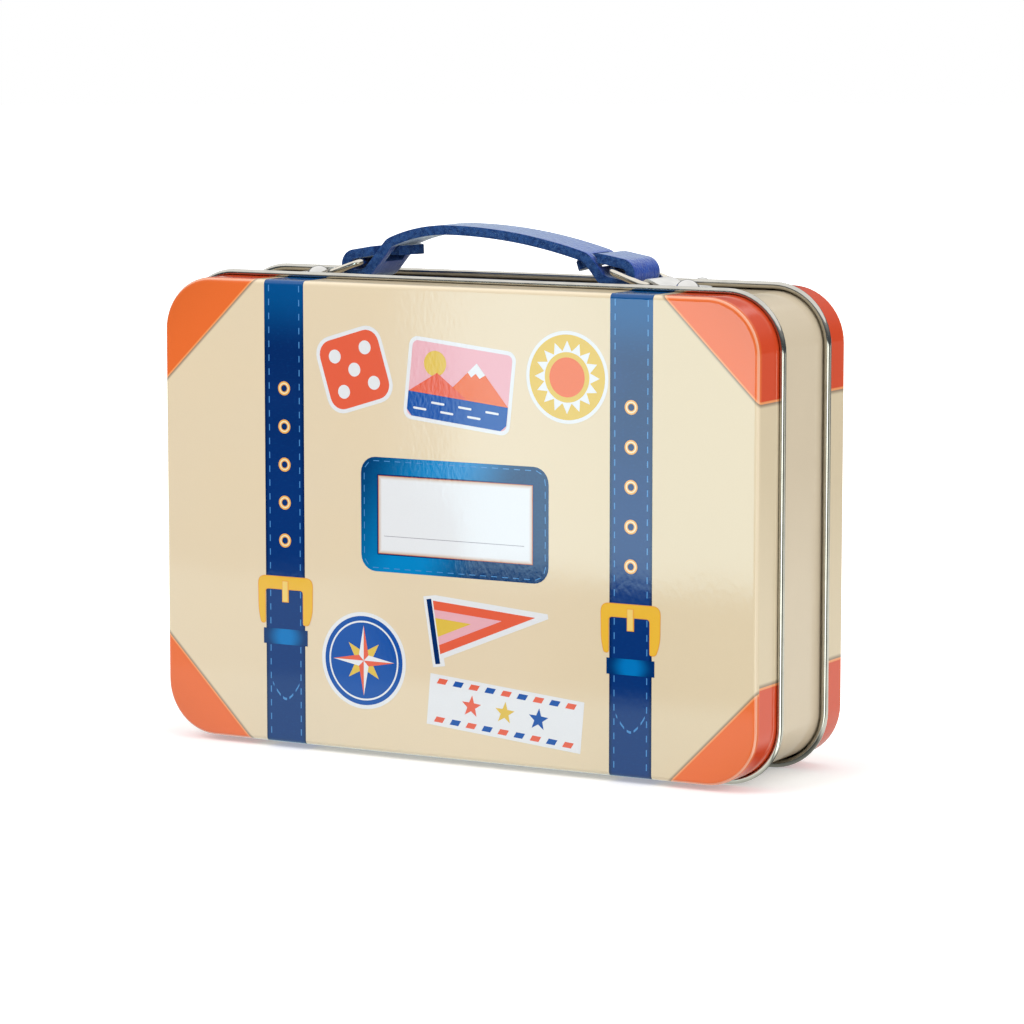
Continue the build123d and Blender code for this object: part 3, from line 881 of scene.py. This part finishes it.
def strap_walk(side):
    """Middle line of half the strap as (x, z, heading) points, from the arch's top out."""
    radius, steep_run, low_run, drop, tail, _ = HALVES[side]
    peak = side * ARCH_PEAK_X
    line = [(peak, box("handle_strap")[1].z - sizes().strap_thick / 2, 0.0)]
    joint = math.degrees(math.asin((ARCH_HALF - peak) / radius))
    # Each part is a bend's radius or a straight length, the degrees it turns, and its rows
    parts = [(radius, -joint, 24), (3.5, joint - STEEP, 8), (steep_run, 0.0, 12),
             (4.0, STEEP - TILT, 8), (low_run, 0.0, 3), (2.65, 180.0, 28), (5.5, 0.0, 8),
             (7.0, TILT + drop, 4), (tail, 0.0, 14)]
    for size, turn, steps in parts:
        for _ in range(steps):
            line.append(onward(line[-1], size if turn else size / steps, turn / steps))
    return line


def row_width(side, row, line):
    """Half the strip's width at a row, and whether the row is cut by the slot."""
    x, z, _ = line[row]
    full = sizes().strap_width / 2
    bend = next(i for i, p in enumerate(line) if p[0] > BAR_X)
    if row < bend:
        crossing = min((math.hypot(a[0] - b[0], a[1] - b[1]), a[0], a[1])
                       for a in line[:bend] for b in line[bend + LOOP_ROWS:])
        near = math.hypot(x - crossing[1], z - crossing[2]) < SLOT_REACH
        return full, near and z < crossing[2] + 0.75
    if row < bend + LOOP_ROWS or x > HALVES[side][5]:
        return full, False
    if x > BARB_X:
        return NECK_HALF, False
    tip = line[-1][0]
    return TIP_HALF + (BARB_HALF - TIP_HALF) * (x - tip) / (BARB_X - tip), False


def strap_blank():
    """The flat cut strip, bent along its walk, with the slots, necks and barbed tips."""
    made = bmesh.new()
    rows = []
    for side in (-1, 1):
        line = strap_walk(side)
        part = [(side * p[0], p[1], *row_width(side, i, line)) for i, p in enumerate(line)]
        rows += part[::-1] if side < 0 else part[1:]
    last = len(rows) - 1
    bmesh.ops.create_grid(made, x_segments=last, y_segments=16, size=0.5)
    places = {}
    for vert in made.verts:
        row, share = round((vert.co.x + 0.5) * last), vert.co.y * 2
        x, z, width, slotted = rows[row]
        vert.co = (x, share * width, z)
        places[vert] = slotted and abs(share) < SLOT_SHARE
    gone = [face for face in made.faces if all(places[v] for v in face.verts)]
    bmesh.ops.delete(made, geom=gone, context="FACES")
    return made


def leather_grain():
    """Dyed leather: pebbled grain with a pale bloom where light grazes it."""
    dye = colours().leather
    finish = Finish("strap_grain")
    crease = finish.noise(1.6, 4.0)
    tone = crease.ramp(0.35, 0.75).mix(dye, toned(dye, 1.6, 1.4, 1.2))
    rubbed = finish.noise(0.5, 4.0).ramp(0.6, 0.8) * 0.25
    normal = finish.bump(crease, 0.16, Normal=finish.bump(finish.pebbles(0.7), 0.10))
    return finish.set(base_color=rubbed.mix(tone, (0.05, 0.12, 0.46)), roughness=0.42,
                      normal=normal, specular_ior_level=0.5, sheen_weight=1.0,
                      sheen_roughness=0.32, sheen_tint=(0.82, 0.96, 0.97))


def leather_edge():
    """Raw cut edge: navy with paler fibres."""
    finish = Finish("strap_edge")
    fibre = finish.noise(0.28, 4.0, stretch=(1, 1, 2.2), rough=0.7)
    clump = finish.noise(1.1, 3.0)
    tone = clump.ramp(0.3, 0.7).mix((0.006, 0.034, 0.15), (0.024, 0.085, 0.28))
    return finish.set(base_color=fibre.ramp(0.54, 0.72).mix(tone, (0.17, 0.32, 0.50)),
                      roughness=0.9, specular_ior_level=0.2,
                      normal=finish.bump(fibre + clump, 0.28))


class CASE_OT_strap(bpy.types.Operator):
    """Cuts the leather strap flat and bends it along its path"""
    bl_idname = "case.strap"
    bl_label = "Leather strap"

    def execute(self, context):
        made = piece("strap_leather", strap_blank(), [leather_grain(), leather_edge()], "strap",
                     "handle_strap")
        modifier(made, "thickness", "SOLIDIFY", thickness=sizes().strap_thick * MM * 0.97,
                 offset=0, use_even_offset=True, material_offset_rim=1)
        modifier(made, "edges", "BEVEL", width=0.32 * MM, segments=2, limit_method="ANGLE",
                 angle_limit=math.radians(50))
        return {"FINISHED"}


# Rings, tabs and rivets


def dress(node, material):
    """Gives a carried-over solid its finish."""
    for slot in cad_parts[node].material_slots:
        slot.link = "OBJECT"
        slot.material = material


class CASE_OT_hardware(bpy.types.Operator):
    """Finishes the tabs, wire rings and domed rivets"""
    bl_idname = "case.hardware"
    bl_label = "Handle hardware"

    def execute(self, context):
        plate = steel("tab_nickel", (0.86, 0.85, 0.82), 0.34)
        wire = steel("ring_wire", (0.62, 0.58, 0.50), 0.07)
        dome = steel("rivet_steel", (0.60, 0.59, 0.57), 0.08)
        for side in ("left", "right"):
            dress("tab_" + side, plate)
            dress("ring_" + side, wire)
            dress("rivet_" + side, dome)
        dress("cover_rivets", dome)
        return {"FINISHED"}


# Contents


def matter(name, tone, rough, grain=0.01):
    """A plain moulded, painted or pressed material with a slow drift in its tone."""
    finish = Finish(name)
    return finish.set(base_color=finish.noise(12.0).mix(tone, toned(tone, 0.85)), roughness=rough,
                      normal=finish.bump(finish.noise(0.4), grain))


def die_resin(node):
    """Ivory resin with navy ink in the drilled pips, which lie below the flat faces."""
    low, high = box(node)
    finish = Finish(node + "_resin", (low + high) / 2)
    a, b, c = abs(finish.x), abs(finish.y), abs(finish.z)
    wide, narrow = a.at_least(b), a.at_most(b)
    second = narrow.at_least(wide.at_most(c))
    pip = (wide.at_least(c) < 7.96) * (second < 6.2)
    ivory = finish.noise(7.0).mix((0.80, 0.75, 0.64), (0.74, 0.68, 0.56))
    return finish.set(base_color=pip.mix(ivory, colours().navy), roughness=0.18,
                      subsurface_weight=0.12, subsurface_radius=(0.002, 0.0015, 0.001),
                      coat_weight=0.3, coat_roughness=0.08)


def score_paper():
    """Pad sheets: a blank ruled table on the face and fine layers along the cut edges."""
    low, high = box("pad_sheets")
    half, margin = (high - low) / 2, 4.5
    finish = Finish("score_paper", (low + high) / 2)
    rule = abs((finish.z / 5.0).fraction() - 0.5) < 0.022
    post = abs(((finish.x + 4.0) / 16.0).fraction() - 0.5) < 0.009
    across, upward = abs(finish.x), abs(finish.z)
    field = (across < half.x - margin) * (upward < half.z - margin)
    lines = rule.at_least(post) * field * 0.8
    tone = lines.mix((0.83, 0.81, 0.75), colours().blue)
    layer = finish.noise(0.12, 1.0, stretch=(0.02, 1, 0.02)) * 0.35 + 0.72
    side = (across > half.x - 0.05).at_least(upward > half.z - 0.05)
    return finish.set(base_color=side.mix(tone, layer), roughness=0.85, specular_ior_level=0.2)


def pencil_wood():
    """Painted hexagonal barrel with a bare cedar cone, whose faces are the slanted ones."""
    finish = Finish("pencil_wood")
    bare = finish.facing("Z").ramp(0.04, 0.10)
    grain = finish.noise(0.7, 4.0, stretch=(1, 1, 0.08))
    wood = grain.mix((0.52, 0.30, 0.15), (0.70, 0.47, 0.27))
    return finish.set(base_color=bare.mix(colours().orange, wood), roughness=bare * 0.45 + 0.25,
                      normal=finish.bump(grain * bare, 0.05))


def binding_cloth():
    """Woven tape over the pad's top edge."""
    navy = colours().navy
    finish = Finish("binding_cloth")
    weave = (finish.x * 9.0).sine() * (finish.z * 9.0).sine()
    tone = weave.ramp(-1.0, 1.0).mix(toned(navy, 0.8), toned(navy, 1.3, lift=0.006))
    return finish.set(base_color=tone, roughness=0.8, normal=finish.bump(weave, 0.06))


class CASE_OT_contents(bpy.types.Operator):
    """Finishes the tray, dice, score pad and pencil"""
    bl_idname = "case.contents"
    bl_label = "Contents"

    def execute(self, context):
        dress("insert_tray", matter("tray_plastic", (0.006, 0.040, 0.145), 0.32, 0.006))
        for index in range(1, 6):
            dress("die_%d" % index, die_resin("die_%d" % index))
        dress("pad_sheets", score_paper())
        dress("pad_backing", matter("pad_board", (0.36, 0.27, 0.18), 0.9, 0.03))
        dress("pad_binding", binding_cloth())
        dress("pencil_barrel", pencil_wood())
        dress("pencil_lead", matter("pencil_graphite", (0.035, 0.035, 0.04), 0.4))
        dress("pencil_ferrule", steel("pencil_brass", (0.80, 0.60, 0.26), 0.18))
        dress("pencil_eraser", matter("pencil_rubber", (0.66, 0.22, 0.20), 0.85, 0.02))
        return {"FINISHED"}


# Stage


CAMERA_TARGET = (3.857, 0.0, 61.66)
CAMERA_DISTANCE = 1056.35
CAMERA_YAW = 29.247
CAMERA_PITCH = 7.155
FOCAL_PIXELS = 4163.5
PHOTO_PIXELS = 1024
WORLD_LIGHT = 0.62
WORLD_MIRRORED = 1.4
# Name, place and size in metres, and watts
LAMPS = (("key", (-0.75, -1.25, 1.25), 1.1, 13.0), ("fill", (1.35, -0.6, 0.7), 1.0, 7.2),
         ("top", (0.1, 0.25, 1.5), 1.2, 4.0))


class Floor(Finish):
    """A pale table: white to the camera but for the case's soft shadow. Mirrors see it darker,
    with bright parts in front that veil the glossy face and draw a bright line on the beads."""

    def __init__(self):
        super().__init__("floor_white")
        rays = self.add("LightPath").outputs
        aside = (abs(self.x) - HIGH.x).at_least(0.0)
        along = (abs(self.y) - HALF_DEPTH).at_least(0.0)
        away = (aside * aside + along * along).root()
        glow = away.ramp(0.0, 25.0, 0.34, 0.48) + away.ramp(10.0, 85.0, 0.0, 0.62)
        self.set(base_color=(0.84, 0.84, 0.84), roughness=0.95, specular_ior_level=0.0,
                 emission_color=(1, 1, 1), emission_strength=glow * rays["Is Camera Ray"])
        beside = self.y.ramp(-10.0, 60.0).at_least(self.x.ramp(86.0, 100.0))
        warm = beside.at_least(self.x.ramp(35.0, 75.0))
        front = self.y.ramp(0.0, -20.0)
        forward = self.y * -1.0
        bearing = (self.x - 86.0) / forward.at_least(1.0)
        strip = bearing.ramp(0.18, 0.32) * bearing.ramp(1.15, 0.85)
        behind = self.y.ramp(650.0, 150.0, 0.45, 1.75)
        level = behind * (1.0 - front) + (strip * 4.5 + 0.3) * front
        mirrored = self.add("Emission", (warm.mix((0.62, 0.90, 1.0), (0.71, 0.735, 0.69)),
                                         level * beside + self.veil(forward)))
        both = (rays["Is Glossy Ray"], self.shader.outputs[0], mirrored.outputs[0])
        self.put(self.surface, self.add("MixShader", both).outputs[0])

    def veil(self, forward):
        """Strength in mirrors, by how far in front of the face and how much to its left."""
        leftward = (self.x * -1.0) / (forward - HALF_DEPTH).at_least(1.0)
        inside = leftward - forward.ramp(340.0, 594.0, 0.565, 0.588)
        far = forward.ramp(308.0, 362.0) * inside.ramp(0.02, -0.02) * leftward.ramp(0.10, 0.18)
        aside = leftward.ramp(0.66, 0.76) * forward.ramp(305.0, 285.0)
        near = forward.ramp(150.0, 112.0) * forward.ramp(0.0, 24.0) * self.x.ramp(92.0, 84.0)
        return (aside * 1.3).at_least(near * 1.9) + far * 5.7


def studio_wall():
    """A dark wall round the table that only mirrors see."""
    finish = Finish("studio_wall")
    tone = finish.z.ramp(300.0, 1500.0).mix((0.10, 0.115, 0.13), (0.40, 0.41, 0.42))
    finish.put(finish.surface, finish.add("Emission", [tone]).outputs[0])
    finish.tree.nodes.remove(finish.shader)
    made = bmesh.new()
    bmesh.ops.create_cone(made, cap_ends=False, segments=64, radius1=3.0, radius2=3.0, depth=1.6)
    bmesh.ops.translate(made, vec=(0, 0, 0.8), verts=made.verts)
    wall = new_object("studio_wall", made, [finish.material])
    for sight in ("camera", "diffuse", "transmission", "volume_scatter", "shadow"):
        setattr(wall, "visible_" + sight, False)


def soft_lamp(name, place, size, power):
    """A square area lamp that is aimed at the case and leaves no glare in mirrors."""
    lamp = bpy.data.lights.new(name, "AREA")
    lamp.size = size
    lamp.energy = power
    made = bpy.data.objects.new(name, lamp)
    made.location = place
    made.visible_glossy = False
    aim = Vector((0, 0, 0.06)) - Vector(place)
    made.rotation_euler = aim.to_track_quat("-Z", "Y").to_euler()
    bpy.context.scene.collection.objects.link(made)


def studio_world(scene):
    """White to the camera, grey to mirrors, soft as light."""
    scene.world = bpy.data.worlds.new("studio")
    scene.world.use_nodes = True
    nodes = Nodes(scene.world.node_tree)
    rays = nodes.add("LightPath").outputs
    level = WORLD_LIGHT
    for ray, strength in (("Is Glossy Ray", WORLD_MIRRORED), ("Is Camera Ray", 1.0),
                          ("Is Transmission Ray", 1.0)):
        level = nodes.value("Mix", {"Factor": rays[ray], "A": level, "B": strength}, "Result")
    back = nodes.tree.nodes["Background"].inputs
    nodes.put(back["Color"], (1, 1, 1))
    nodes.put(back["Strength"], level)
    scene.view_settings.view_transform = "Standard"


def photo_camera(scene):
    """The camera at the photograph's place, level from side to side."""
    yaw, pitch = math.radians(CAMERA_YAW), math.radians(CAMERA_PITCH)
    back = Vector((math.sin(yaw) * math.cos(pitch), -math.cos(yaw) * math.cos(pitch),
                   math.sin(pitch)))
    camera = bpy.data.cameras.new("camera")
    camera.sensor_width = 36.0
    camera.lens = FOCAL_PIXELS / PHOTO_PIXELS * camera.sensor_width
    camera.clip_start = 0.05
    made = bpy.data.objects.new("camera", camera)
    made.location = (Vector(CAMERA_TARGET) + back * CAMERA_DISTANCE) * MM
    made.rotation_euler = back.to_track_quat("Z", "Y").to_euler()
    scene.collection.objects.link(made)
    scene.camera = made


class CASE_OT_stage(bpy.types.Operator):
    """Sets the floor, the soft light and the camera at the photograph's angle"""
    bl_idname = "case.stage"
    bl_label = "Stage"

    def execute(self, context):
        made = bmesh.new()
        bmesh.ops.create_circle(made, cap_ends=True, radius=6.0, segments=64)
        new_object("floor", made, [Floor().material])
        studio_wall()
        for lamp in LAMPS:
            soft_lamp(*lamp)
        studio_world(context.scene)
        photo_camera(context.scene)
        return {"FINISHED"}


class CASE_PT_panel(bpy.types.Panel):
    """Lists the case's sizes, colours and pieces"""
    bl_label = "Game case"
    bl_space_type = "VIEW_3D"
    bl_region_type = "UI"
    bl_category = "Game case"

    def draw(self, context):
        for group in (sizes(), colours()):
            column = self.layout.column(align=True)
            for name in type(group).__annotations__:
                column.prop(group, name)
        for operator in OPERATORS:
            self.layout.operator(operator.bl_idname)


OPERATORS = (CASE_OT_covers, CASE_OT_band, CASE_OT_straps, CASE_OT_label, CASE_OT_badges,
             CASE_OT_strap, CASE_OT_hardware, CASE_OT_contents, CASE_OT_stage)
CLASSES = (CaseSizes, CaseColours, *OPERATORS, CASE_PT_panel)


def register():
    for item in CLASSES:
        bpy.utils.register_class(item)
    bpy.types.Scene.case_sizes = PointerProperty(type=CaseSizes)
    bpy.types.Scene.case_colours = PointerProperty(type=CaseColours)


def unregister():
    del bpy.types.Scene.case_sizes
    del bpy.types.Scene.case_colours
    for item in reversed(CLASSES):
        bpy.utils.unregister_class(item)


def main():
    register()
    for operator in OPERATORS:
        getattr(bpy.ops.case, operator.bl_idname.split(".")[1])()


if __name__ == "__main__":
    main()
